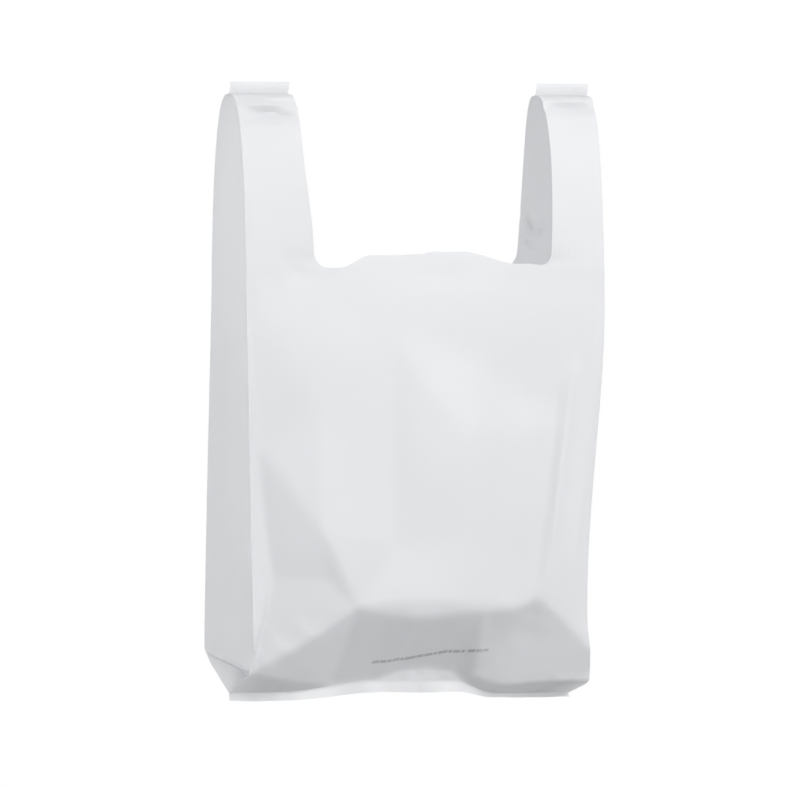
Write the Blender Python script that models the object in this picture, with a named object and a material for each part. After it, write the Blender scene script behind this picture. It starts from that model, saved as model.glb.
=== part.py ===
"""A gusseted vest carrier bag of thin film, hanging open from its two handles.

The film is one tube. It has a front and a back panel with a gusset web between them on each side.
The mouth is die-cut between the handles, and the tube is heat-sealed across the top of each handle
and along the bottom. Heights below are measured up from the lower edge of the bottom seal, and the
finished bag is lowered so that the handle tops are at the origin.
"""

import math
from functools import partial

import bmesh
import bpy
from mathutils import Vector
from mathutils.bvhtree import BVHTree
from mathutils.geometry import delaunay_2d_cdt

# Overall size of the hanging bag, in metres
HANGING_HEIGHT = 0.472
FACE_WIDTH = 0.300
BASE_DEPTH = 0.100
MOUTH_DEPTH = 0.069
FILM = 0.0008

# Seals: the fin of film that stands past each heat seal
BOTTOM_SEAL = 0.009
HANDLE_SEAL = 0.009
SEAL_BOW = 0.004

# Handles: width of the straps, how they widen towards the mouth, and how the loops close at the top
LEFT_STRAP_WIDTH = 0.0485
RIGHT_STRAP_WIDTH = 0.045
LEFT_STRAP_SPREAD = 0.0075
RIGHT_STRAP_SPREAD = 0.0015
STRAP_SPREAD_HEIGHT = 0.095
STRAP_FLARE = 0.002
HANDLE_TAPER = 0.20
HANDLE_BLUNTNESS = 0.35

# Mouth: height of its edge at the handles, its raised middle, and the radius in its corners
MOUTH_HEIGHT = 0.330
MOUTH_RISE = 0.0105
MOUTH_RISE_LEFT = 0.059
MOUTH_RISE_LEFT_SLOPE = 0.028
MOUTH_RISE_RIGHT = 0.053
MOUTH_RISE_RIGHT_SLOPE = 0.050
MOUTH_CORNER = 0.012

# Gussets: how far the web sags in, and the level where it turns in under the bag
WEB_TUCK = 0.004
GUSSET_TURN = 0.030
GUSSET_DEPTH = 0.050

# Right side: the film is drawn in above the bottom seal
DRAWN_IN = 0.022
DRAWN_IN_HEIGHT = 0.060
DRAWN_IN_REACH = 0.260
SEAL_END_DRAWN_IN = 0.017
TOP_DRAWN_IN = 0.002

# Height over the seal line up to which the front and back follow their creases
CREASED_HEIGHT = 0.315
CREASE_RADIUS = 0.008
ROUNDING_STEPS = 6

# Creases of the front and back. A point is its share of the way from the left fold to the right
# fold, its height over the seal line, and how far it stands from the middle plane of the bag.
HALF_BASE = BASE_DEPTH / 2
FRONT_POINTS = {
    "seal_left": (0.0, 0.0, 0.0),
    "seal_turn": (0.70, 0.0, 0.0),
    "seal_right": (1.0, 0.0, 0.0),
    "heel_left": (0.0, 0.012, HALF_BASE - 0.007),
    "corner_left": (0.0, 0.026, HALF_BASE),
    "corner_right": (1.0, 0.027, HALF_BASE),
    "crease_left": (0.30, 0.059, HALF_BASE + 0.007),
    "crease_middle": (0.58, 0.063, HALF_BASE + 0.009),
    "crease_right": (0.85, 0.067, HALF_BASE + 0.006),
    "valley_left": (0.065, 0.085, HALF_BASE - 0.0105),
    "facet_top": (0.015, 0.188, HALF_BASE - 0.010),
    "panel_mark": (0.41, 0.270, HALF_BASE - 0.010),
    "panel_middle": (0.60, 0.190, HALF_BASE - 0.0005),
    "ridge_right": (0.935, 0.200, HALF_BASE - 0.005),
    "top_left": (0.0, CREASED_HEIGHT, MOUTH_DEPTH / 2),
    "top_right": (1.0, CREASED_HEIGHT, MOUTH_DEPTH / 2),
}
FRONT_CREASES = (
    ("heel_left", "crease_left"),
    ("crease_left", "crease_middle"),
    ("crease_middle", "crease_right"),
    ("crease_right", "corner_right"),
    ("crease_right", "seal_turn"),
    ("seal_turn", "corner_right"),
    ("heel_left", "valley_left"),
    ("valley_left", "facet_top"),
    ("facet_top", "crease_left"),
    ("crease_left", "panel_mark"),
    ("crease_right", "ridge_right"),
    ("ridge_right", "top_right"),
    ("corner_right", "ridge_right"),
)
BACK_POINTS = {
    "seal_left": (0.0, 0.0, 0.0),
    "seal_right": (1.0, 0.0, 0.0),
    "knee_left": (0.0, 0.018, HALF_BASE - 0.012),
    "corner_left": (0.0, 0.030, HALF_BASE),
    "corner_right": (1.0, 0.030, HALF_BASE),
    "crease_left": (0.18, 0.062, HALF_BASE + 0.005),
    "crease_right": (0.80, 0.058, HALF_BASE + 0.006),
    "valley_right": (0.93, 0.080, HALF_BASE - 0.008),
    "facet_top": (0.985, 0.170, HALF_BASE - 0.009),
    "panel_middle": (0.45, 0.180, HALF_BASE),
    "ridge_left": (0.08, 0.190, HALF_BASE - 0.005),
    "top_left": (0.0, CREASED_HEIGHT, MOUTH_DEPTH / 2),
    "top_right": (1.0, CREASED_HEIGHT, MOUTH_DEPTH / 2),
}
BACK_CREASES = (
    ("knee_left", "crease_left"),
    ("crease_left", "crease_right"),
    ("crease_right", "corner_right"),
    ("corner_right", "valley_right"),
    ("valley_right", "facet_top"),
    ("facet_top", "crease_right"),
    ("corner_left", "ridge_left"),
    ("crease_left", "ridge_left"),
    ("ridge_left", "top_left"),
)

# Mesh: columns over a strap, between the straps and over a web, rows from the bottom up, and how
# far the spacing is drawn towards the edges that have more to follow
STRAP_COLUMNS = 7
MIDDLE_COLUMNS = 20
WEB_COLUMNS = 4
CREASE_ROWS = 9
WALL_ROWS = 9
HANDLE_ROWS = 10
CROWDING = 0.7
CREASE_ZONE_TOP = 0.100
WELD = 0.00001

FILM_COLOUR = (0.83, 0.84, 0.85, 1.0)
FILM_ROUGHNESS = 0.42

HALF_WIDTH = FACE_WIDTH / 2
HANDLE_TOP = HANGING_HEIGHT - HANDLE_SEAL
CORNER_MIDDLE = MOUTH_CORNER * (1 - math.sqrt(0.5))
LAST_COLUMN = 2 * STRAP_COLUMNS + MIDDLE_COLUMNS
BODY_ROWS = STRAP_COLUMNS + CREASE_ROWS + WALL_ROWS


def clear_scene():
    for thing in list(bpy.data.objects):
        bpy.data.objects.remove(thing, do_unlink=True)


def mix(a, b, share):
    return a + (b - a) * share


def ease(share):
    """A smooth step from 0 to 1."""
    share = min(max(share, 0.0), 1.0)
    return share * share * (3 - 2 * share)


def crowded(share):
    """An even share, drawn towards both ends."""
    return mix(share, (1 - math.cos(math.pi * share)) / 2, CROWDING)


def handle_depth(height):
    """Depth of the bag from the mouth up to the handle tops, where it closes in a blunt arch."""
    share = min(max(height - MOUTH_HEIGHT, 0.0) / (HANDLE_TOP - MOUTH_HEIGHT), 1.0)
    return MOUTH_DEPTH * (1 - share**3) ** HANDLE_BLUNTNESS * (1 - HANDLE_TAPER * share)


def fold_x(side, height):
    """Where the folds of one side stand: -1 is the left side and 1 the right side."""
    if side < 0:
        return -HALF_WIDTH
    above = ease((height - DRAWN_IN_HEIGHT) / DRAWN_IN_REACH)
    below = ease((DRAWN_IN_HEIGHT - height) / (DRAWN_IN_HEIGHT - BOTTOM_SEAL))
    return HALF_WIDTH - mix(mix(DRAWN_IN, TOP_DRAWN_IN, above), SEAL_END_DRAWN_IN, below)


def strap_x(side, height):
    """Where the inner edges of one handle's straps stand."""
    width = LEFT_STRAP_WIDTH if side < 0 else RIGHT_STRAP_WIDTH
    spread = LEFT_STRAP_SPREAD if side < 0 else RIGHT_STRAP_SPREAD
    return side * (HALF_WIDTH - width - spread * (1 - ease((height - MOUTH_HEIGHT) / STRAP_SPREAD_HEIGHT)))


def seal_height(x):
    """The seal line is lowest at its ends and bows up in the middle."""
    return BOTTOM_SEAL + SEAL_BOW * max(1 - (x / HALF_WIDTH) ** 2, 0.0)


def corner(distance):
    """How far the rounded corner of the mouth stands off one edge, at a distance from the other."""
    short = MOUTH_CORNER - min(max(distance, 0.0), MOUTH_CORNER)
    return MOUTH_CORNER - math.sqrt(MOUTH_CORNER**2 - short**2)


def inner_edge_x(side, height):
    """Inner edge of a handle's straps, down to the middle of the rounded corner at the mouth."""
    return strap_x(side, height) - side * corner(height - MOUTH_HEIGHT)


def mouth_edge(x):
    """Height of the mouth's edge, with its raised middle and rounded corners."""
    side = -1 if x < 0 else 1
    end = MOUTH_RISE_LEFT if x < 0 else MOUTH_RISE_RIGHT
    slope = MOUTH_RISE_LEFT_SLOPE if x < 0 else MOUTH_RISE_RIGHT_SLOPE
    rise = MOUTH_RISE * ease((end - abs(x)) / slope + 0.5)
    return MOUTH_HEIGHT + rise + corner(abs(strap_x(side, MOUTH_HEIGHT)) - abs(x))


def crease_net(points, creases):
    """A net of flat facets through the points, with every crease kept as an edge."""
    names = list(points)
    spots = [Vector((points[name][0] * FACE_WIDTH, points[name][1])) for name in names]
    edges = [(names.index(first), names.index(second)) for first, second in creases]
    spots, _, facets, origins, _, _ = delaunay_2d_cdt(spots, edges, [], 0, WELD)
    raised = [(*spot, points[names[origin[0]]][2]) for spot, origin in zip(spots, origins)]
    return BVHTree.FromPolygons(raised, facets)


NETS = {
    "front": crease_net(FRONT_POINTS, FRONT_CREASES),
    "back": crease_net(BACK_POINTS, BACK_CREASES),
}


def facet_away(face, across, rise):
    """How far a flat facet stands from the middle plane of the bag."""
    across = min(max(across, WELD), FACE_WIDTH - WELD)
    rise = min(max(rise, WELD), CREASED_HEIGHT - WELD)
    return NETS[face].ray_cast(Vector((across, rise, 1.0)), Vector((0.0, 0.0, -1.0)))[0].z


def creased_away(face, share, rise):
    """How far a panel stands from the middle plane, with its creases rounded."""
    across = share * FACE_WIDTH
    beside = min(CREASE_RADIUS, across, FACE_WIDTH - across)
    above = min(CREASE_RADIUS, rise)
    total = facet_away(face, across, rise)
    for step in range(ROUNDING_STEPS):
        turn = 2 * math.pi * step / ROUNDING_STEPS
        total += facet_away(face, across + beside * math.cos(turn), rise + above * math.sin(turn))
    return total / (ROUNDING_STEPS + 1)


def panel_point(face, x, height):
    """A point of the front or back film."""
    left, right = fold_x(-1, height), fold_x(1, height)
    rise = height - seal_height(x)
    if rise < WELD:
        away = 0.0
    elif rise < CREASED_HEIGHT:
        away = creased_away(face, min(max((x - left) / (right - left), 0.0), 1.0), rise)
    else:
        away = handle_depth(height) / 2
    return Vector((x, -away if face == "front" else away, height))


def column_x(column, height):
    """Where a column of the film stands: strap columns reach in by one gusset depth at the seal."""
    inner = {}
    for side in (-1, 1):
        low = fold_x(side, height) - side * GUSSET_DEPTH
        high = inner_edge_x(side, MOUTH_HEIGHT + CORNER_MIDDLE)
        inner[side] = mix(low, high, ease((height - GUSSET_TURN) / (MOUTH_HEIGHT - GUSSET_TURN)))
    if column <= STRAP_COLUMNS:
        return mix(fold_x(-1, height), inner[-1], column / STRAP_COLUMNS)
    if column >= LAST_COLUMN - STRAP_COLUMNS:
        return mix(fold_x(1, height), inner[1], (LAST_COLUMN - column) / STRAP_COLUMNS)
    return mix(inner[-1], inner[1], crowded((column - STRAP_COLUMNS) / MIDDLE_COLUMNS))


def body_point(face, column, row):
    """A grid point of the front or back below the mouth: gusset rows, crease rows, then wall rows."""
    if row <= STRAP_COLUMNS:
        share = row / STRAP_COLUMNS
        x = column_x(column, mix(BOTTOM_SEAL, GUSSET_TURN, share))
        return panel_point(face, x, mix(seal_height(x), GUSSET_TURN, share))
    if row <= STRAP_COLUMNS + CREASE_ROWS:
        height = mix(GUSSET_TURN, CREASE_ZONE_TOP, (row - STRAP_COLUMNS) / CREASE_ROWS)
        return panel_point(face, column_x(column, height), height)
    share = (row - STRAP_COLUMNS - CREASE_ROWS) / WALL_ROWS
    x = column_x(column, mix(CREASE_ZONE_TOP, MOUTH_HEIGHT + CORNER_MIDDLE, share))
    top = mouth_edge(column_x(column, MOUTH_HEIGHT + CORNER_MIDDLE))
    over_strap = min(column, LAST_COLUMN - column) < STRAP_COLUMNS
    top = MOUTH_HEIGHT + CORNER_MIDDLE if over_strap else top
    return panel_point(face, x, mix(CREASE_ZONE_TOP, top, share))


def strap_point(face, side, column, row):
    """A grid point of a handle strap, between its fold and its die-cut inner edge."""
    height = mix(MOUTH_HEIGHT + CORNER_MIDDLE, HANDLE_TOP, crowded(row / HANDLE_ROWS))
    share = column / STRAP_COLUMNS
    x = mix(fold_x(side, height), inner_edge_x(side, height), share)
    flare = STRAP_FLARE * share**2 * math.sin(math.pi * row / HANDLE_ROWS)
    point = panel_point(face, x, height)
    point.y += -flare if face == "front" else flare
    return point


def fold_point(face, side, row):
    """A point of a side fold, on the rows of the body and then of the handle."""
    if row <= BODY_ROWS:
        return body_point(face, 0 if side < 0 else LAST_COLUMN, row)
    return strap_point(face, side, 0, row - BODY_ROWS)


def web_point(side, across, row):
    """A grid point of a gusset web, above the level where it turns in under the bag."""
    share = across / WEB_COLUMNS
    point = fold_point("front", side, row).lerp(fold_point("back", side, row), share)
    sag = 4 * share * (1 - share) * handle_depth(point.z) / MOUTH_DEPTH
    point.x -= side * WEB_TUCK * sag
    return point


def turned_in_point(side, across, row):
    """A grid point of the web's lower end, folded in to a point on the bottom seal."""
    column = STRAP_COLUMNS - row
    column = column if side < 0 else LAST_COLUMN - column
    front = body_point("front", column, row)
    point = front.lerp(body_point("back", column, row), across / WEB_COLUMNS)
    if row == STRAP_COLUMNS:
        return web_point(side, across, row)
    return point


def bottom_fin_point(column, row):
    seam = body_point("front", column, 0)
    return Vector((seam.x, 0.0, seam.z if row else (seam.z - BOTTOM_SEAL) / 2))


def handle_fin_point(side, column, row):
    seam = strap_point("front", side, column, HANDLE_ROWS)
    return Vector((seam.x, 0.0, mix(HANDLE_TOP, HANGING_HEIGHT, row)))


def add_sheet(film, columns, rows, place):
    """Adds a sheet of film, with the point at each column and row put in its place."""
    sheet = bmesh.ops.create_grid(film, x_segments=columns, y_segments=rows, size=0.5)
    for vert in sheet["verts"]:
        column = round((vert.co.x + 0.5) * columns)
        row = round((vert.co.y + 0.5) * rows)
        vert.co = place(column, row)


def film_sheets():
    """All the sheets of the bag, joined at the folds and at the heat seals."""
    film = bmesh.new()
    for face in ("front", "back"):
        add_sheet(film, LAST_COLUMN, BODY_ROWS, partial(body_point, face))
        for side in (-1, 1):
            add_sheet(film, STRAP_COLUMNS, HANDLE_ROWS, partial(strap_point, face, side))
    for side in (-1, 1):
        above = BODY_ROWS + HANDLE_ROWS - STRAP_COLUMNS
        add_sheet(film, WEB_COLUMNS, above, lambda across, row: web_point(side, across, row + STRAP_COLUMNS))
        add_sheet(film, WEB_COLUMNS, STRAP_COLUMNS, partial(turned_in_point, side))
        add_sheet(film, STRAP_COLUMNS, 1, partial(handle_fin_point, side))
    add_sheet(film, LAST_COLUMN, 1, bottom_fin_point)
    bmesh.ops.remove_doubles(film, verts=film.verts, dist=WELD)
    bmesh.ops.dissolve_degenerate(film, edges=film.edges, dist=WELD)
    bmesh.ops.translate(film, verts=film.verts, vec=(0.0, 0.0, -HANGING_HEIGHT))
    return film


def film_material():
    material = bpy.data.materials.new("white_film")
    material.use_nodes = True
    shader = material.node_tree.nodes["Principled BSDF"]
    shader.inputs["Base Color"].default_value = FILM_COLOUR
    shader.inputs["Roughness"].default_value = FILM_ROUGHNESS
    shader.inputs["Metallic"].default_value = 0.0
    return material


def carrier_bag():
    film = film_sheets()
    mesh = bpy.data.meshes.new("carrier_bag")
    film.to_mesh(mesh)
    film.free()
    mesh.materials.append(film_material())
    mesh.shade_smooth()
    bag = bpy.data.objects.new("carrier_bag", mesh)
    bpy.context.scene.collection.objects.link(bag)
    wall = bag.modifiers.new("film_thickness", "SOLIDIFY")
    wall.solidify_mode = "NON_MANIFOLD"
    wall.nonmanifold_boundary_mode = "FLAT"
    wall.nonmanifold_thickness_mode = "EVEN"
    wall.thickness = FILM
    wall.offset = 0.0
    return bag


def main():
    clear_scene()
    carrier_bag()


main()
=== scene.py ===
import math
from functools import partial

import bmesh
import bpy
from bpy.props import FloatProperty, FloatVectorProperty, PointerProperty
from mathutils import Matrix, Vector, noise
from mathutils.bvhtree import BVHTree
from mathutils.geometry import delaunay_2d_cdt


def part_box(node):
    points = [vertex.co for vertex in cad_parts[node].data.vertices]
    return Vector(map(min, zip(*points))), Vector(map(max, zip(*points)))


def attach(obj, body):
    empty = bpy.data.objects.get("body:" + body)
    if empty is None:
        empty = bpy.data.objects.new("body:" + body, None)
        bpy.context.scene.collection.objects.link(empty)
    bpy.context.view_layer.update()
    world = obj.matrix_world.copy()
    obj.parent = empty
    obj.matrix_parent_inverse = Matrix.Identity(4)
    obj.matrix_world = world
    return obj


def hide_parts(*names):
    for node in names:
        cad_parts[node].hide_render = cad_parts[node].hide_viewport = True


bl_info = {
    "name": "Vest Carrier Bag",
    "version": (1, 0, 0),
    "blender": (4, 5, 0),
    "location": "View3D > Sidebar > Carrier Bag",
    "description": "Models a thin white film carrier bag, hanging open from its two handles",
    "category": "Object",
}

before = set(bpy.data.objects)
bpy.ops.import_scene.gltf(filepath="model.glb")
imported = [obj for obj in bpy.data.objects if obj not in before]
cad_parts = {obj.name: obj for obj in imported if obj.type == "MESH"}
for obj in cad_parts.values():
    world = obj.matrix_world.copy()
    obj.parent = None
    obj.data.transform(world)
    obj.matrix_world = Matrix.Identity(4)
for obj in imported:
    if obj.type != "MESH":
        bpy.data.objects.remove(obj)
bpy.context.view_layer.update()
LOW, HIGH = (Vector(corner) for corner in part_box("carrier_bag"))

# Grid of the film: columns over a strap, columns between the straps, columns over a web, and rows
STRAP_COLUMNS = 16
MIDDLE_COLUMNS = 60
WEB_COLUMNS = 20
CREASE_ROWS = 30
WALL_ROWS = 66
HANDLE_ROWS = 44
SEAL_ROWS = 4
LAST_COLUMN = 2 * STRAP_COLUMNS + MIDDLE_COLUMNS
BODY_ROWS = STRAP_COLUMNS + CREASE_ROWS + WALL_ROWS
WELD = 0.000002
FOLD_ANGLE = 35


class BagSizes(bpy.types.PropertyGroup):
    face_width: FloatProperty(
        name="Face Width", description="Fold to fold across the front", default=0.300, unit="LENGTH"
    )
    hanging_height: FloatProperty(
        name="Hanging Height",
        description="Bottom seal to handle tops",
        default=HIGH.z - LOW.z,
        unit="LENGTH",
    )
    mouth_depth: FloatProperty(
        name="Mouth Depth", description="Front to back at the mouth", default=0.069, unit="LENGTH"
    )
    film: FloatProperty(
        name="Film", description="Modelled thickness of the film", default=0.00025, unit="LENGTH"
    )
    bottom_seal: FloatProperty(
        name="Bottom Seal", description="Height of the fin at the seal's ends", default=0.005, unit="LENGTH"
    )
    handle_seal: FloatProperty(
        name="Handle Seal", description="Height of the fin on a handle", default=0.009, unit="LENGTH"
    )
    mouth_height: FloatProperty(
        name="Mouth Height", description="Height of the mouth's edge", default=0.330, unit="LENGTH"
    )


class FilmLook(bpy.types.PropertyGroup):
    colour: FloatVectorProperty(
        name="Colour", description="Colour of the film", subtype="COLOR", default=(0.862, 0.866, 0.876)
    )
    shade: FloatVectorProperty(
        name="Shade",
        description="Colour of its thicker clouds",
        subtype="COLOR",
        default=(0.835, 0.84, 0.852),
    )
    glow: FloatVectorProperty(
        name="Glow", description="Colour of light passed on", subtype="COLOR", default=(0.88, 0.885, 0.892)
    )
    see_through: FloatProperty(
        name="See Through", description="Share of light passed on", default=0.55, subtype="FACTOR"
    )
    roughness: FloatProperty(name="Roughness", description="Satin finish", default=0.42, subtype="FACTOR")
    cloud_scale: FloatProperty(name="Cloud Scale", description="Fineness of the clouds", default=14.0)
    ink: FloatVectorProperty(
        name="Ink", description="Colour of the printed line", subtype="COLOR", default=(0.55, 0.55, 0.56)
    )
    ink_roughness: FloatProperty(
        name="Ink Roughness", description="Matt finish of the ink", default=0.6, subtype="FACTOR"
    )


class StageSettings(bpy.types.PropertyGroup):
    turn: FloatProperty(
        name="Turn", description="Camera's turn to the left", default=math.radians(23), unit="ROTATION"
    )
    distance: FloatProperty(
        name="Distance", description="Camera to the bag", default=15.0, unit="LENGTH"
    )
    frame_width: FloatProperty(
        name="Frame Width", description="Width seen at the bag", default=0.603, unit="LENGTH"
    )
    floor_drop: FloatProperty(
        name="Floor Drop", description="Floor below the bag", default=0.45, unit="LENGTH"
    )
    floor_reach: FloatProperty(
        name="Floor Reach", description="Half of the floor's width", default=4.0, unit="LENGTH"
    )
    aim_left: FloatProperty(
        name="Aim Left", description="Camera's aim, left of the bag's middle", default=0.0127, unit="LENGTH"
    )
    aim_down: FloatProperty(
        name="Aim Down", description="Camera's aim, below the bag's middle", default=0.002, unit="LENGTH"
    )
    around: FloatProperty(name="Around", description="Soft light from the front", default=0.96, min=0.0)
    behind: FloatProperty(name="Behind", description="Soft light from behind", default=0.90, min=0.0)
    key: FloatProperty(name="Key", description="Front lamp, in watts", default=92.0, min=0.0)
    key_size: FloatProperty(name="Key Size", description="Width of the front lamp", default=1.9)
    key_place: FloatVectorProperty(
        name="Key Place", description="Front lamp, from the bag's middle", default=(1.35, -3.30, 1.45)
    )
    fill: FloatProperty(name="Fill", description="Lamp at the left side, in watts", default=9.0, min=0.0)
    fill_size: FloatProperty(name="Fill Size", description="Width of the left lamp", default=1.0)
    fill_place: FloatVectorProperty(
        name="Fill Place", description="Left lamp, from the bag's middle", default=(-1.7, 0.25, 0.10)
    )
    floor_grey: FloatProperty(
        name="Floor Grey",
        description="Share of light the floor throws back",
        default=0.33,
        subtype="FACTOR",
    )
    floor_lift: FloatProperty(
        name="Floor Lift", description="Added to the floor where it is seen", default=0.50, min=0.0
    )


def mix(a, b, share):
    return a + (b - a) * share


def ease(share):
    """A smooth step from 0 to 1."""
    share = min(max(share, 0.0), 1.0)
    return share * share * (3 - 2 * share)


def slide(value, low, high):
    """How far a value has gone from low to high, smoothly, from 0 to 1."""
    return ease((value - low) / (high - low))


def uneven(kind, x, height, pattern):
    """Smooth unevenness: its size, and how fast it changes across and up. Each pattern differs."""
    size, across, up = kind
    return size * noise.noise(Vector((x * across, height * up, pattern)))


# Creases of the front and back film. A point is its share of the way from the left fold to the
# right fold, its height over the seal line, and how far it stands from the bag's middle plane.
FRONT_POINTS = {
    "seal_left": (0.0, 0.0, 0.0),
    "seal_turn": (0.71, 0.0, 0.0),
    "seal_right": (1.0, 0.0, 0.0),
    "heel_left": (0.0, 0.014, 0.0405),
    "corner_left": (0.0, 0.030, 0.050),
    "corner_right": (1.0, 0.034, 0.050),
    "heel_right": (1.0, 0.0085, 0.0410),
    "turn_foot": (0.71, 0.0065, 0.0090),
    "turn_middle": (0.785, 0.041, 0.0280),
    "foot_right": (0.86, 0.0075, 0.0285),
    "hug_left": (0.30, 0.002, 0.0004),
    "pucker_1": (0.430, 0.002, 0.0004),
    "pucker_2": (0.490, 0.0085, 0.0016),
    "pucker_3": (0.530, 0.005, 0.0010),
    "pucker_4": (0.570, 0.011, 0.0020),
    "pucker_5": (0.621, 0.010, 0.0020),
    "pucker_6": (0.672, 0.006, 0.0012),
    "crease_left": (0.30, 0.0610, 0.0575),
    "band_1": (0.378, 0.0535, 0.0558),
    "band_2": (0.495, 0.0487, 0.0562),
    "band_3": (0.675, 0.0530, 0.0550),
    "band_4": (0.773, 0.0645, 0.0530),
    "crease_middle": (0.58, 0.0615, 0.0595),
    "crease_right": (0.855, 0.0740, 0.0490),
    "valley_left": (0.068, 0.088, 0.0405),
    "facet_top": (0.015, 0.192, 0.0388),
    "facet_hollow": (0.217, 0.087, 0.0508),
    "facet_ridge": (0.20, 0.120, 0.0552),
    "mark_low": (0.42, 0.105, 0.0522),
    "panel_low": (0.62, 0.105, 0.0545),
    "mark_high": (0.405, 0.272, 0.0370),
    "panel_left": (0.20, 0.215, 0.0432),
    "panel_middle": (0.62, 0.190, 0.0490),
    "hollow_low": (0.865, 0.102, 0.0468),
    "hollow_middle": (0.89, 0.152, 0.0438),
    "hollow_high": (0.92, 0.210, 0.0400),
    "ridge_right": (0.955, 0.117, 0.0490),
    "ridge_foot": (0.962, 0.046, 0.0505),
    "top_left": (0.0, 0.315, 0.0345),
    "top_right": (1.0, 0.315, 0.0345),
}
FRONT_CREASES = (
    ("heel_left", "crease_left"),
    ("pucker_1", "pucker_2"),
    ("pucker_2", "pucker_3"),
    ("pucker_3", "pucker_4"),
    ("pucker_4", "pucker_5"),
    ("pucker_5", "pucker_6"),
    ("crease_left", "crease_middle"),
    ("crease_middle", "crease_right"),
    ("crease_left", "band_1"),
    ("band_1", "band_2"),
    ("band_2", "band_3"),
    ("band_3", "band_4"),
    ("band_4", "crease_right"),
    ("crease_right", "ridge_foot"),
    ("ridge_foot", "corner_right"),
    ("crease_right", "turn_middle"),
    ("turn_middle", "turn_foot"),
    ("turn_foot", "seal_turn"),
    ("turn_foot", "foot_right"),
    ("foot_right", "heel_right"),
    ("hug_left", "pucker_1"),
    ("crease_left", "hug_left"),
    ("heel_left", "valley_left"),
    ("valley_left", "facet_top"),
    ("facet_top", "facet_ridge"),
    ("facet_ridge", "crease_left"),
    ("crease_left", "mark_low"),
    ("mark_low", "mark_high"),
    ("crease_right", "hollow_low"),
    ("hollow_low", "hollow_middle"),
    ("hollow_middle", "hollow_high"),
    ("hollow_high", "top_right"),
    ("ridge_foot", "ridge_right"),
    ("ridge_right", "top_right"),
)
BACK_POINTS = {
    "seal_left": (0.0, 0.0, 0.0),
    "seal_right": (1.0, 0.0, 0.0),
    "knee_left": (0.0, 0.022, 0.038),
    "corner_left": (0.0, 0.034, 0.050),
    "corner_right": (1.0, 0.034, 0.050),
    "crease_left": (0.18, 0.062, 0.055),
    "crease_right": (0.80, 0.058, 0.056),
    "valley_right": (0.93, 0.080, 0.042),
    "facet_top": (0.985, 0.170, 0.041),
    "panel_middle": (0.45, 0.180, 0.050),
    "ridge_left": (0.08, 0.190, 0.045),
    "top_left": (0.0, 0.315, 0.0345),
    "top_right": (1.0, 0.315, 0.0345),
}
BACK_CREASES = (
    ("knee_left", "crease_left"),
    ("crease_left", "crease_right"),
    ("crease_right", "corner_right"),
    ("corner_right", "valley_right"),
    ("valley_right", "facet_top"),
    ("facet_top", "crease_right"),
    ("corner_left", "ridge_left"),
    ("crease_left", "ridge_left"),
    ("ridge_left", "top_left"),
)

# Small folds in the film: the two ends of each, its half width, and how far it stands out
FRONT_FOLDS = (
    ((-0.1300, 0.4590), (-0.1015, 0.4605), 0.0022, 0.0032),
    ((-0.1440, 0.4540), (-0.1100, 0.4530), 0.0024, 0.0030),
    ((-0.1140, 0.4490), (-0.1000, 0.4505), 0.0024, 0.0028),
    ((-0.1440, 0.4460), (-0.1060, 0.4470), 0.0040, -0.0038),
    ((0.1020, 0.4590), (0.1500, 0.4590), 0.0025, 0.0020),
    ((0.1020, 0.4530), (0.1500, 0.4530), 0.0030, -0.0036),
    ((-0.0340, 0.1100), (-0.0340, 0.2850), 0.0110, -0.0010),
    ((0.0890, 0.0700), (0.1200, 0.2500), 0.0060, 0.0036),
    ((-0.1180, 0.3300), (-0.0980, 0.3220), 0.0060, -0.0008),
    ((-0.0700, 0.3050), (-0.0620, 0.2850), 0.0060, -0.0006),
    ((-0.0200, 0.3260), (0.0400, 0.3230), 0.0080, -0.0006),
)
BACK_FOLDS = (
    ((0.1060, 0.3720), (0.1180, 0.3560), 0.0030, -0.0034),
    ((0.1180, 0.3560), (0.1260, 0.3620), 0.0026, 0.0026),
    ((0.1080, 0.3560), (0.1160, 0.3440), 0.0026, 0.0024),
)


FOLDS = {"front": FRONT_FOLDS, "back": BACK_FOLDS}
FOLD_FADE = (0.1, 0.9)


def crease_net(points, creases, width):
    """A net of flat facets through the points, with every crease kept as an edge."""
    names = list(points)
    spots = [Vector((points[name][0] * width, points[name][1])) for name in names]
    edges = [(names.index(first), names.index(second)) for first, second in creases]
    spots, _, facets, origins, _, _ = delaunay_2d_cdt(spots, edges, [], 0, WELD)
    raised = [(*spot, points[names[origin[0]]][2]) for spot, origin in zip(spots, origins)]
    return BVHTree.FromPolygons(raised, facets)


def small_fold(fold, x, height):
    """How far one small fold moves the film out at a place beside it. It fades towards its ends."""
    start, end, half_width, depth = fold
    place, start, end = Vector((x, height)), Vector(start), Vector(end)
    along = end - start
    share = min(max((place - start).dot(along) / along.length_squared, 0.0), 1.0)
    gap = (place - start - along * share).length / half_width
    return depth * math.exp(-gap * gap) * math.sin(math.pi * mix(*FOLD_FADE, share))


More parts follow.
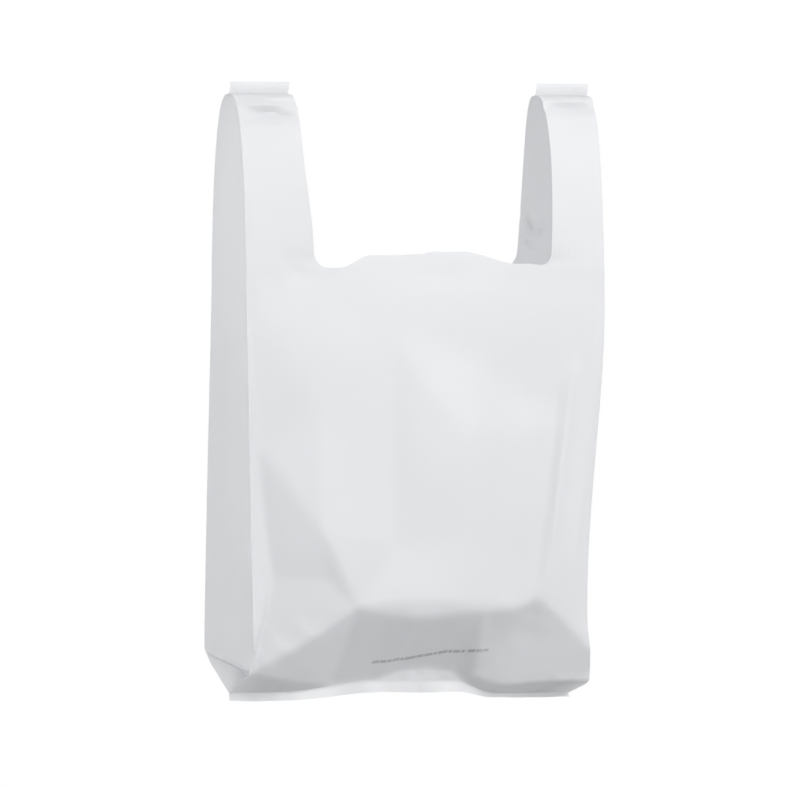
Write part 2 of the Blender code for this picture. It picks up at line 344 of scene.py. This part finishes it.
class BagShape:
    """Where each point of the film stands. Heights are measured up from the bag's lower edge."""

    # Gusset webs, and how they turn in under the bag
    gusset_turn = {"front": 0.022, "back": 0.036}
    gusset_depth = 0.034
    web_tuck = 0.004
    web_unevenness = 0.0015
    web_pattern = (2.2, 9)
    web_hollow = 0.005
    web_hollow_across = ((0.45, 0.12), (0.0, 0.12))
    web_hollow_up = ((0.110, 0.060), (0.020, 0.035))

    # Bottom seal, its fin, and the fins on the handles
    seal_bow = 0.008
    seal_rise = (-0.105, -0.025)
    seal_fall = (0.072, 0.036)
    right_seal_drop = 0.0015
    fin_bow = 0.0045
    fin_drop = 0.0015
    fin_ledge = 0.0010
    fin_lean = 0.0030

    # Handles: strap widths, their spread towards the mouth, and the arch over each loop
    strap_width = {-1: 0.0485, 1: 0.0450}
    strap_spread = {-1: 0.0075, 1: 0.0015}
    strap_spread_height = 0.095
    strap_flare = 0.004
    strap_flare_start = 6
    back_strap_flare = 0.001
    back_strap_lean = 0.0025
    strap_crowding = 0.7
    handle_taper = 0.20
    handle_bluntness = 0.35

    # Edge of the mouth
    mouth_rise = 0.0095
    mouth_slopes = {
        "front": ((-0.072, -0.046), (0.078, 0.028)),
        "back": ((-0.040, -0.014), (0.078, 0.028)),
    }
    mouth_tilt = 0.028
    mouth_tilt_middle = -0.050
    mouth_blend = 0.02
    mouth_corner = 0.012
    back_mouth_drop = 0.0030
    back_mouth_bump = 0.0045
    back_bump_ends = ((0.010, 0.042), (0.060, 0.052))

    # How far the folds of the right side are drawn in
    drawn_in = 0.022
    drawn_in_height = 0.060
    drawn_in_reach = 0.260
    seal_end_drawn_in = 0.017
    top_drawn_in = 0.002

    # Rounding of the creases, which is wider in the middle and towards the top
    creased_height = 0.315
    crease_zone_top = 0.100
    net_rim = 0.00001
    sharp_crease = 0.0028
    blunt_crease = 0.0045
    soft_crease = 0.012
    blunt_across = ((0.30, 0.42), (0.88, 0.80))
    blunt_up = (0.008, 0.030)
    soft_up = (0.120, 0.250)
    rounding_rings = (0.5, 1.0)
    rounding_steps = 8

    # Unevenness of the film: its size, and how fast it changes across and up
    waves = (0.0011, 11, 8)
    draw_lines = (0.00012, 75, 5)
    crumples = (0.0016, 30, 42)
    crumple_fade = (0.045, 0.075)
    gathers = (0.0014, 85, 9)
    gather_fade = (0.0048, 0.016)
    mouth_ripple = (0.0012, 20, 1)
    fin_wave = (0.0024, 38, 1)
    fin_frill = (0.0012, 95, 1)
    fin_edge = (0.0008, 55, 1)
    handle_fin_wave = (0.00072, 60, 3.5)
    seam_ease = 0.006
    top_ease = 0.003

    # Numbers that keep the patterns of the unevenness apart
    film_pattern = {"front": 0.0, "back": 5.3}
    draw_line_pattern = 2
    crumple_pattern = 4
    gather_pattern = 7
    mouth_pattern = {"front": 0.0, "back": 3.7}
    fin_wave_pattern = 1.5
    fin_frill_pattern = 4.5
    fin_edge_pattern = 8.5

    def __init__(self, sizes):
        self.face_width = sizes.face_width
        self.half_width = sizes.face_width / 2
        self.height = sizes.hanging_height
        self.mouth_depth = sizes.mouth_depth
        self.bottom_seal = sizes.bottom_seal
        self.mouth_height = sizes.mouth_height
        self.handle_top = sizes.hanging_height - sizes.handle_seal
        self.corner_middle = self.mouth_corner * (1 - math.sqrt(0.5))
        self.nets = {
            "front": crease_net(FRONT_POINTS, FRONT_CREASES, self.face_width),
            "back": crease_net(BACK_POINTS, BACK_CREASES, self.face_width),
        }

    def handle_depth(self, height):
        """Depth of the bag from the mouth up to the handle tops, where it closes in a blunt arch."""
        share = min(max(height - self.mouth_height, 0.0) / (self.handle_top - self.mouth_height), 1.0)
        arch = (1 - share**3) ** self.handle_bluntness
        return self.mouth_depth * arch * (1 - self.handle_taper * share)

    def fold_x(self, side, height):
        """Where the folds of one side stand: -1 is the left side and 1 the right side."""
        if side < 0:
            return -self.half_width
        above = ease((height - self.drawn_in_height) / self.drawn_in_reach)
        below = ease((self.drawn_in_height - height) / (self.drawn_in_height - self.bottom_seal))
        drawn_in = mix(self.drawn_in, self.top_drawn_in, above)
        return self.half_width - mix(drawn_in, self.seal_end_drawn_in, below)

    def strap_x(self, side, height):
        """Where the inner edges of one handle's straps stand."""
        spread = 1 - slide(height, self.mouth_height, self.mouth_height + self.strap_spread_height)
        return side * (self.half_width - self.strap_width[side] - self.strap_spread[side] * spread)

    def middle_bow(self, x):
        """0 near the ends of the seal, and 1 over its middle."""
        return slide(x, *self.seal_rise) * slide(x, *self.seal_fall)

    def seal_height(self, x):
        """The seal line is low near its ends and bows up in the middle."""
        right_drop = self.right_seal_drop * (1 - slide(x, *self.seal_fall))
        return self.bottom_seal + self.seal_bow * self.middle_bow(x) - right_drop

    def corner(self, distance):
        """How far the mouth's rounded corner stands off one edge, at a distance from the other."""
        short = self.mouth_corner - min(max(distance, 0.0), self.mouth_corner)
        return self.mouth_corner - math.sqrt(self.mouth_corner**2 - short**2)

    def inner_edge_x(self, side, height):
        """Where the film ends beside the mouth, with the mouth's rounded corner."""
        return self.strap_x(side, height) - side * self.corner(height - self.mouth_height)

    def mouth_edge(self, face, x):
        """Height of the mouth's edge, with its raised middle, rounded corners and ripples."""
        side = -1 if x < 0 else 1
        edge = abs(self.strap_x(side, self.mouth_height)) - abs(x)
        rise = self.mouth_rise * min(slide(x, *slope) for slope in self.mouth_slopes[face])
        lift = 0.0
        if face == "back":
            bump = min(slide(x, *end) for end in self.back_bump_ends)
            lift = self.back_mouth_bump * bump - self.back_mouth_drop
        lift += uneven(self.mouth_ripple, x, self.mouth_pattern[face], 0.0)
        lift += self.mouth_tilt * (x - self.mouth_tilt_middle)
        return self.mouth_height + rise + self.corner(edge) + lift * ease(edge / self.mouth_blend)

    def facet_away(self, face, across, rise):
        """How far a flat facet stands from the middle plane of the bag."""
        across = min(max(across, self.net_rim), self.face_width - self.net_rim)
        rise = min(max(rise, self.net_rim), self.creased_height - self.net_rim)
        above = Vector((across, rise, 1.0))
        return self.nets[face].ray_cast(above, Vector((0.0, 0.0, -1.0)))[0].z

    def creased_away(self, face, share, rise):
        """How far a panel stands from the middle plane, with its creases rounded."""
        across = share * self.face_width
        blunt = math.prod(slide(share, *end) for end in self.blunt_across) * slide(rise, *self.blunt_up)
        radius = mix(self.sharp_crease, self.blunt_crease, blunt)
        radius = mix(radius, self.soft_crease, slide(rise, *self.soft_up))
        beside = min(radius, across, self.face_width - across)
        above = min(radius, rise)
        total = self.facet_away(face, across, rise)
        for ring in self.rounding_rings:
            for step in range(self.rounding_steps):
                turn = 2 * math.pi * (step + ring) / self.rounding_steps
                step_x = ring * beside * math.cos(turn)
                step_z = ring * above * math.sin(turn)
                total += self.facet_away(face, across + step_x, rise + step_z)
        return total / (len(self.rounding_rings) * self.rounding_steps + 1)

    def ripple(self, face, x, height, rise):
        """Slight unevenness of the film: slow waves, fine draw lines, and gathers over the seal."""
        pattern = self.film_pattern[face]
        away = uneven(self.waves, x, height, pattern)
        away += uneven(self.draw_lines, x, height, pattern + self.draw_line_pattern)
        crumples = abs(uneven(self.crumples, x, height, pattern + self.crumple_pattern))
        away -= crumples * (1 - slide(rise, *self.crumple_fade))
        gathers = uneven(self.gathers, x, height, pattern + self.gather_pattern)
        away += gathers * (1 - slide(rise, *self.gather_fade))
        away += sum(small_fold(fold, x, height) for fold in FOLDS[face])
        return away * min(ease(rise / self.seam_ease), ease((self.handle_top - height) / self.top_ease))

    def panel_point(self, face, x, height):
        """A point of the front or back film."""
        left, right = self.fold_x(-1, height), self.fold_x(1, height)
        rise = height - self.seal_height(x)
        if rise < WELD:
            return Vector((x, 0.0, height))
        if rise < self.creased_height:
            away = self.creased_away(face, min(max((x - left) / (right - left), 0.0), 1.0), rise)
        else:
            away = self.handle_depth(height) / 2
        away += self.ripple(face, x, height, rise)
        return Vector((x, -away if face == "front" else away, height))

    def column_x(self, column, height):
        """Where a column stands: strap columns reach in by a gusset's depth at the seal."""
        inner = {}
        turn = self.gusset_turn["front"]
        for side in (-1, 1):
            low = self.fold_x(side, height) - side * self.gusset_depth
            high = self.inner_edge_x(side, self.mouth_height + self.corner_middle)
            inner[side] = mix(low, high, slide(height, turn, self.mouth_height))
        if column <= STRAP_COLUMNS:
            return mix(self.fold_x(-1, height), inner[-1], column / STRAP_COLUMNS)
        if column >= LAST_COLUMN - STRAP_COLUMNS:
            return mix(self.fold_x(1, height), inner[1], (LAST_COLUMN - column) / STRAP_COLUMNS)
        return mix(inner[-1], inner[1], (column - STRAP_COLUMNS) / MIDDLE_COLUMNS)

    def body_point(self, face, column, row):
        """A grid point of the front or back, up to the mouth."""
        turn = self.gusset_turn[face]
        if row <= STRAP_COLUMNS:
            share = row / STRAP_COLUMNS
            x = self.column_x(column, mix(self.bottom_seal, turn, share))
            return self.panel_point(face, x, mix(self.seal_height(x), turn, share))
        if row <= STRAP_COLUMNS + CREASE_ROWS:
            share = (row - STRAP_COLUMNS) / CREASE_ROWS
            height = mix(turn, self.crease_zone_top, share)
            return self.panel_point(face, self.column_x(column, height), height)
        share = (row - STRAP_COLUMNS - CREASE_ROWS) / WALL_ROWS
        strap_foot = self.mouth_height + self.corner_middle
        x = self.column_x(column, mix(self.crease_zone_top, strap_foot, share))
        over_strap = min(column, LAST_COLUMN - column) < STRAP_COLUMNS
        top = strap_foot if over_strap else self.mouth_edge(face, self.column_x(column, strap_foot))
        return self.panel_point(face, x, mix(self.crease_zone_top, top, share))

    def strap_point(self, face, side, column, row):
        """A grid point of a handle strap, between its fold and its die-cut inner edge."""
        along = row / HANDLE_ROWS
        foot = self.mouth_height + self.corner_middle
        crowded = mix(along, (1 - math.cos(math.pi * along)) / 2, self.strap_crowding)
        height = mix(foot, self.handle_top, crowded)
        share = column / STRAP_COLUMNS
        x = mix(self.fold_x(side, height), self.inner_edge_x(side, height), share)
        bow = share**2 * math.sin(math.pi * along) * ease(self.strap_flare_start * along)
        point = self.panel_point(face, x, height)
        if face == "front":
            point.y -= self.strap_flare * bow
        else:
            point.y += self.back_strap_flare * bow
            point.x += side * self.back_strap_lean * bow
        return point

    def fold_point(self, face, side, row):
        """A point of a side fold, on the rows of the body and then of the handle."""
        if row <= BODY_ROWS:
            return self.body_point(face, 0 if side < 0 else LAST_COLUMN, row)
        return self.strap_point(face, side, 0, row - BODY_ROWS)

    def web_point(self, side, across, row):
        """A grid point of a gusset web, above the level where it turns in under the bag."""
        share = across / WEB_COLUMNS
        point = self.fold_point("front", side, row).lerp(self.fold_point("back", side, row), share)
        sag = 4 * share * (1 - share) * self.handle_depth(point.z) / self.mouth_depth
        waves_across, waves_up = self.web_pattern
        place = Vector((side, share * waves_across, point.z * waves_up))
        waves = self.web_unevenness * noise.noise(place)
        hollow = self.web_hollow * math.prod(slide(share, *end) for end in self.web_hollow_across)
        hollow *= math.prod(slide(point.z, *end) for end in self.web_hollow_up)
        point.x -= side * ((self.web_tuck + waves) * sag + hollow)
        return point

    def turned_in_point(self, side, across, row):
        """A grid point of the web's lower end, folded in to a point on the bottom seal."""
        if row == STRAP_COLUMNS:
            return self.web_point(side, across, row)
        column = STRAP_COLUMNS - row if side < 0 else LAST_COLUMN - STRAP_COLUMNS + row
        front = self.body_point("front", column, row)
        return front.lerp(self.body_point("back", column, row), across / WEB_COLUMNS)

    def bottom_fin_point(self, column, row):
        """A point of the film below the bottom seal, which ripples more towards its free edge."""
        seam = self.body_point("front", column, 0)
        below = 1 - row / SEAL_ROWS
        wave = uneven(self.fin_wave, seam.x, self.fin_wave_pattern, 0.0)
        wave += uneven(self.fin_frill, seam.x, self.fin_frill_pattern, 0.0)
        edge = self.fin_bow * self.middle_bow(seam.x)
        edge -= self.fin_drop * (1 - slide(seam.x, *self.seal_rise))
        edge += uneven(self.fin_edge, seam.x, self.fin_edge_pattern, 0.0)
        return Vector((seam.x, wave * below, mix(seam.z, edge, below)))

    def handle_fin_point(self, side, column, row):
        """A point of the film above a handle's seal, which leans forward."""
        seam = self.strap_point("front", side, column, HANDLE_ROWS)
        above = row / SEAL_ROWS
        shift = (uneven(self.handle_fin_wave, seam.x, side, 0.0) - self.fin_lean) * above
        shift -= self.fin_ledge * math.sin(math.pi * above)
        return Vector((seam.x, shift, mix(self.handle_top, self.height, above)))


def add_sheet(film, columns, rows, place):
    """Adds a sheet of film, with the point at each column and row put in its place."""
    sheet = bmesh.ops.create_grid(film, x_segments=columns, y_segments=rows, size=0.5)
    for vert in sheet["verts"]:
        column = round((vert.co.x + 0.5) * columns)
        row = round((vert.co.y + 0.5) * rows)
        vert.co = place(column, row)


def material_nodes(name):
    """An empty material, with its nodes and links."""
    material = bpy.data.materials.new(name)
    material.use_nodes = True
    nodes = material.node_tree.nodes
    nodes.clear()
    return material, nodes, material.node_tree.links


def film_material(look):
    """Satin polythene film: cloudy white, passing on some of the light."""
    material, nodes, links = material_nodes("white_film")
    output = nodes.new("ShaderNodeOutputMaterial")
    blend = nodes.new("ShaderNodeMixShader")
    satin = nodes.new("ShaderNodeBsdfPrincipled")
    glow = nodes.new("ShaderNodeBsdfTranslucent")
    place = nodes.new("ShaderNodeTexCoord")
    clouds = nodes.new("ShaderNodeTexNoise")
    tint = nodes.new("ShaderNodeMix")
    tint.data_type = "RGBA"
    clouds.inputs["Scale"].default_value = look.cloud_scale
    clouds.inputs["Detail"].default_value = 4.0
    links.new(place.outputs["Object"], clouds.inputs["Vector"])
    links.new(clouds.outputs["Fac"], tint.inputs["Factor"])
    tint.inputs["A"].default_value = (*look.colour, 1.0)
    tint.inputs["B"].default_value = (*look.shade, 1.0)
    links.new(tint.outputs["Result"], satin.inputs["Base Color"])
    satin.inputs["Roughness"].default_value = look.roughness
    satin.inputs["IOR"].default_value = 1.5
    glow.inputs["Color"].default_value = (*look.glow, 1.0)
    blend.inputs["Fac"].default_value = look.see_through
    links.new(satin.outputs["BSDF"], blend.inputs[1])
    links.new(glow.outputs["BSDF"], blend.inputs[2])
    links.new(blend.outputs["Shader"], output.inputs["Surface"])
    return material


def finish_film(name, film, sizes, look):
    """Makes the film a thin closed solid in the bag's own frame, riding with the bag."""
    bmesh.ops.remove_doubles(film, verts=film.verts, dist=WELD)
    bmesh.ops.dissolve_degenerate(film, edges=film.edges, dist=WELD)
    bmesh.ops.translate(film, verts=film.verts, vec=(0.0, 0.0, LOW.z))
    bmesh.ops.recalc_face_normals(film, faces=film.faces)
    mesh = bpy.data.meshes.new(name)
    film.to_mesh(mesh)
    film.free()
    mesh.shade_smooth()
    mesh.materials.append(film_material(look))
    piece = bpy.data.objects.new(name, mesh)
    bpy.context.scene.collection.objects.link(piece)
    wall = piece.modifiers.new("film_thickness", "SOLIDIFY")
    wall.solidify_mode = "NON_MANIFOLD"
    wall.nonmanifold_boundary_mode = "NONE"
    wall.nonmanifold_thickness_mode = "FIXED"
    wall.thickness = sizes.film
    wall.offset = 0.0
    depsgraph = bpy.context.evaluated_depsgraph_get()
    solid = bpy.data.meshes.new_from_object(piece.evaluated_get(depsgraph))
    solid.set_sharp_from_angle(angle=math.radians(FOLD_ANGLE))
    piece.modifiers.clear()
    piece.data = solid
    bpy.data.meshes.remove(mesh)
    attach(piece, "root")
    return piece


class CARRIERBAG_OT_film(bpy.types.Operator):
    """Model the film of the bag: panels, gusset webs, handle straps and seal fins"""

    bl_idname = "carrier_bag.film"
    bl_label = "Bag Film"

    def execute(self, context):
        sizes = context.scene.bag_sizes
        shape = BagShape(sizes)
        film = bmesh.new()
        for face in ("front", "back"):
            add_sheet(film, LAST_COLUMN, BODY_ROWS, partial(shape.body_point, face))
            for side in (-1, 1):
                add_sheet(film, STRAP_COLUMNS, HANDLE_ROWS, partial(shape.strap_point, face, side))
        above = BODY_ROWS + HANDLE_ROWS - STRAP_COLUMNS
        for side in (-1, 1):

            def web(across, row, side=side):
                return shape.web_point(side, across, row + STRAP_COLUMNS)

            add_sheet(film, WEB_COLUMNS, above, web)
            add_sheet(film, WEB_COLUMNS, STRAP_COLUMNS, partial(shape.turned_in_point, side))
            add_sheet(film, STRAP_COLUMNS, SEAL_ROWS, partial(shape.handle_fin_point, side))
        add_sheet(film, LAST_COLUMN, SEAL_ROWS, shape.bottom_fin_point)
        piece = finish_film("bag_film", film, sizes, context.scene.film_look)
        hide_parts("carrier_bag")
        return {"FINISHED"}


class CARRIERBAG_OT_print(bpy.types.Operator):
    """Print a plain line of small dashes under the front crease"""

    bl_idname = "carrier_bag.print"
    bl_label = "Printed Line"

    path = ((-0.0372, 0.0276), (-0.0059, 0.0310), (0.0234, 0.0360), (0.0551, 0.0368))
    dash_height = 0.0021
    dash_length = 0.0050
    dash_unevenness = (0.0060, 300, 1)
    dash_pattern = (0.5, 0.5)
    gap = 0.0008
    waviness = (0.0008, 90, 1)
    wave_pattern = (2.5, 0.5)
    lift = 0.0002
    nearby = 0.0005
    cuts = 3

    def height_at(self, x):
        """Height of the line, between the two nearest points of its path."""
        for (low_x, low), (high_x, high) in zip(self.path, self.path[1:]):
            if x <= high_x:
                return mix(low, high, (x - low_x) / (high_x - low_x))
        return self.path[-1][1]

    def on_film(self, shape, x, height):
        """A place just in front of the film."""
        place = shape.panel_point("front", x, height)
        beside = shape.panel_point("front", x + self.nearby, height) - place
        above = shape.panel_point("front", x, height + self.nearby) - place
        return place + beside.cross(above).normalized() * self.lift

    def execute(self, context):
        shape = BagShape(context.scene.bag_sizes)
        look = context.scene.film_look
        marks = bmesh.new()
        x = self.path[0][0]
        while x < self.path[-1][0]:
            length = self.dash_length + uneven(self.dash_unevenness, x, *self.dash_pattern)

            def place(column, row, x=x, length=length):
                across = x + length * column / self.cuts
                height = self.height_at(across) + uneven(self.waviness, across, *self.wave_pattern)
                return self.on_film(shape, across, height + self.dash_height * (row - 0.5))

            add_sheet(marks, self.cuts, 1, place)
            x += length + self.gap
        bmesh.ops.translate(marks, verts=marks.verts, vec=(0.0, 0.0, LOW.z))
        mesh = bpy.data.meshes.new("printed_line")
        marks.to_mesh(mesh)
        marks.free()
        material, nodes, links = material_nodes("grey_ink")
        output = nodes.new("ShaderNodeOutputMaterial")
        ink = nodes.new("ShaderNodeBsdfPrincipled")
        ink.inputs["Base Color"].default_value = (*look.ink, 1.0)
        ink.inputs["Roughness"].default_value = look.ink_roughness
        links.new(ink.outputs["BSDF"], output.inputs["Surface"])
        mesh.materials.append(material)
        line = bpy.data.objects.new("printed_line", mesh)
        context.scene.collection.objects.link(line)
        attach(line, "root")
        return {"FINISHED"}


def add_lamp(name, place, aim, size, watts):
    """A round soft lamp, turned to its aim and not itself in view."""
    light = bpy.data.lights.new(name, "AREA")
    light.shape = "DISK"
    light.size = size
    light.energy = watts
    lamp = bpy.data.objects.new(name, light)
    lamp.location = place
    lamp.rotation_euler = (aim - place).to_track_quat("-Z", "Y").to_euler()
    lamp.visible_camera = False
    bpy.context.scene.collection.objects.link(lamp)


def seen_directly(nodes, links):
    """1 for rays from the camera, from reflections and through clear film, and 0 for the rest."""
    path = nodes.new("ShaderNodeLightPath")
    seen = nodes.new("ShaderNodeMath")
    seen.operation = "MAXIMUM"
    either = nodes.new("ShaderNodeMath")
    either.operation = "MAXIMUM"
    links.new(path.outputs["Is Camera Ray"], seen.inputs[0])
    links.new(path.outputs["Is Glossy Ray"], seen.inputs[1])
    links.new(seen.outputs["Value"], either.inputs[0])
    links.new(path.outputs["Is Transmission Ray"], either.inputs[1])
    return either.outputs["Value"]


class CARRIERBAG_OT_stage(bpy.types.Operator):
    """Set up the pale floor, the soft studio light and the camera"""

    bl_idname = "carrier_bag.stage"
    bl_label = "Stage"

    def execute(self, context):
        scene = context.scene
        stage = scene.bag_stage
        middle = Vector((0.0, 0.0, (LOW.z + HIGH.z) / 2))
        toward = Vector((-math.sin(stage.turn), -math.cos(stage.turn), 0.0))
        right = Vector((math.cos(stage.turn), -math.sin(stage.turn), 0.0))
        self.add_floor(LOW.z - stage.floor_drop, stage)
        self.add_world(scene, stage)
        add_lamp("key", middle + Vector(stage.key_place), middle, stage.key_size, stage.key)
        add_lamp("fill", middle + Vector(stage.fill_place), middle, stage.fill_size, stage.fill)
        camera = bpy.data.objects.new("camera", bpy.data.cameras.new("camera"))
        aim = middle - right * stage.aim_left - Vector((0.0, 0.0, stage.aim_down))
        camera.location = aim + toward * stage.distance
        camera.rotation_euler = (-toward).to_track_quat("-Z", "Y").to_euler()
        camera.data.lens = camera.data.sensor_width * stage.distance / stage.frame_width
        camera.data.clip_end = 2 * stage.distance
        scene.collection.objects.link(camera)
        scene.camera = camera
        scene.view_settings.view_transform = "Standard"
        return {"FINISHED"}

    def add_floor(self, height, stage):
        mesh = bpy.data.meshes.new("floor")
        shape = bmesh.new()
        bmesh.ops.create_grid(shape, x_segments=1, y_segments=1, size=stage.floor_reach)
        bmesh.ops.translate(shape, verts=shape.verts, vec=(0.0, 0.0, height))
        shape.to_mesh(mesh)
        shape.free()
        floor = bpy.data.objects.new("floor", mesh)
        bpy.context.scene.collection.objects.link(floor)
        material, nodes, links = material_nodes("pale_floor")
        output = nodes.new("ShaderNodeOutputMaterial")
        matt = nodes.new("ShaderNodeBsdfDiffuse")
        grey = stage.floor_grey
        matt.inputs["Color"].default_value = (grey, grey, grey, 1.0)
        lift = nodes.new("ShaderNodeEmission")
        lift.inputs["Strength"].default_value = stage.floor_lift
        paler = nodes.new("ShaderNodeAddShader")
        blend = nodes.new("ShaderNodeMixShader")
        links.new(matt.outputs["BSDF"], paler.inputs[0])
        links.new(lift.outputs["Emission"], paler.inputs[1])
        links.new(seen_directly(nodes, links), blend.inputs["Fac"])
        links.new(matt.outputs["BSDF"], blend.inputs[1])
        links.new(paler.outputs["Shader"], blend.inputs[2])
        links.new(blend.outputs["Shader"], output.inputs["Surface"])
        mesh.materials.append(material)

    def add_world(self, scene, stage):
        world = bpy.data.worlds.new("soft_studio")
        world.use_nodes = True
        nodes, links = world.node_tree.nodes, world.node_tree.links
        nodes.clear()
        output = nodes.new("ShaderNodeOutputWorld")
        light = nodes.new("ShaderNodeBackground")
        place = nodes.new("ShaderNodeTexCoord")
        split = nodes.new("ShaderNodeSeparateXYZ")
        amount = nodes.new("ShaderNodeMapRange")
        links.new(place.outputs["Generated"], split.inputs["Vector"])
        links.new(split.outputs["Y"], amount.inputs["Value"])
        amount.inputs["From Min"].default_value = -1.0
        amount.inputs["To Min"].default_value = stage.around
        amount.inputs["To Max"].default_value = stage.behind
        links.new(amount.outputs["Result"], light.inputs["Strength"])
        white = nodes.new("ShaderNodeBackground")
        blend = nodes.new("ShaderNodeMixShader")
        links.new(seen_directly(nodes, links), blend.inputs["Fac"])
        links.new(light.outputs["Background"], blend.inputs[1])
        links.new(white.outputs["Background"], blend.inputs[2])
        white.inputs["Color"].default_value = (1.0, 1.0, 1.0, 1.0)
        white.inputs["Strength"].default_value = 1.0
        links.new(blend.outputs["Shader"], output.inputs["Surface"])
        scene.world = world


class CARRIERBAG_PT_panel(bpy.types.Panel):
    bl_idname = "CARRIERBAG_PT_panel"
    bl_label = "Carrier Bag"
    bl_space_type = "VIEW_3D"
    bl_region_type = "UI"
    bl_category = "Carrier Bag"

    def draw(self, context):
        layout = self.layout
        for settings in ("bag_sizes", "film_look", "bag_stage"):
            group = getattr(context.scene, settings)
            box = layout.box()
            for name in group.__annotations__:
                box.prop(group, name)
        for operator in OPERATORS:
            layout.operator(operator.bl_idname)


OPERATORS = (CARRIERBAG_OT_film, CARRIERBAG_OT_print, CARRIERBAG_OT_stage)
CLASSES = (BagSizes, FilmLook, StageSettings, *OPERATORS, CARRIERBAG_PT_panel)


def register():
    for cls in CLASSES:
        bpy.utils.register_class(cls)
    bpy.types.Scene.bag_sizes = PointerProperty(type=BagSizes)
    bpy.types.Scene.film_look = PointerProperty(type=FilmLook)
    bpy.types.Scene.bag_stage = PointerProperty(type=StageSettings)


def unregister():
    for settings in ("bag_sizes", "film_look", "bag_stage"):
        delattr(bpy.types.Scene, settings)
    for cls in reversed(CLASSES):
        bpy.utils.unregister_class(cls)


def main():
    register()
    bpy.ops.carrier_bag.film()
    bpy.ops.carrier_bag.print()
    bpy.ops.carrier_bag.stage()


if __name__ == "__main__":
    main()
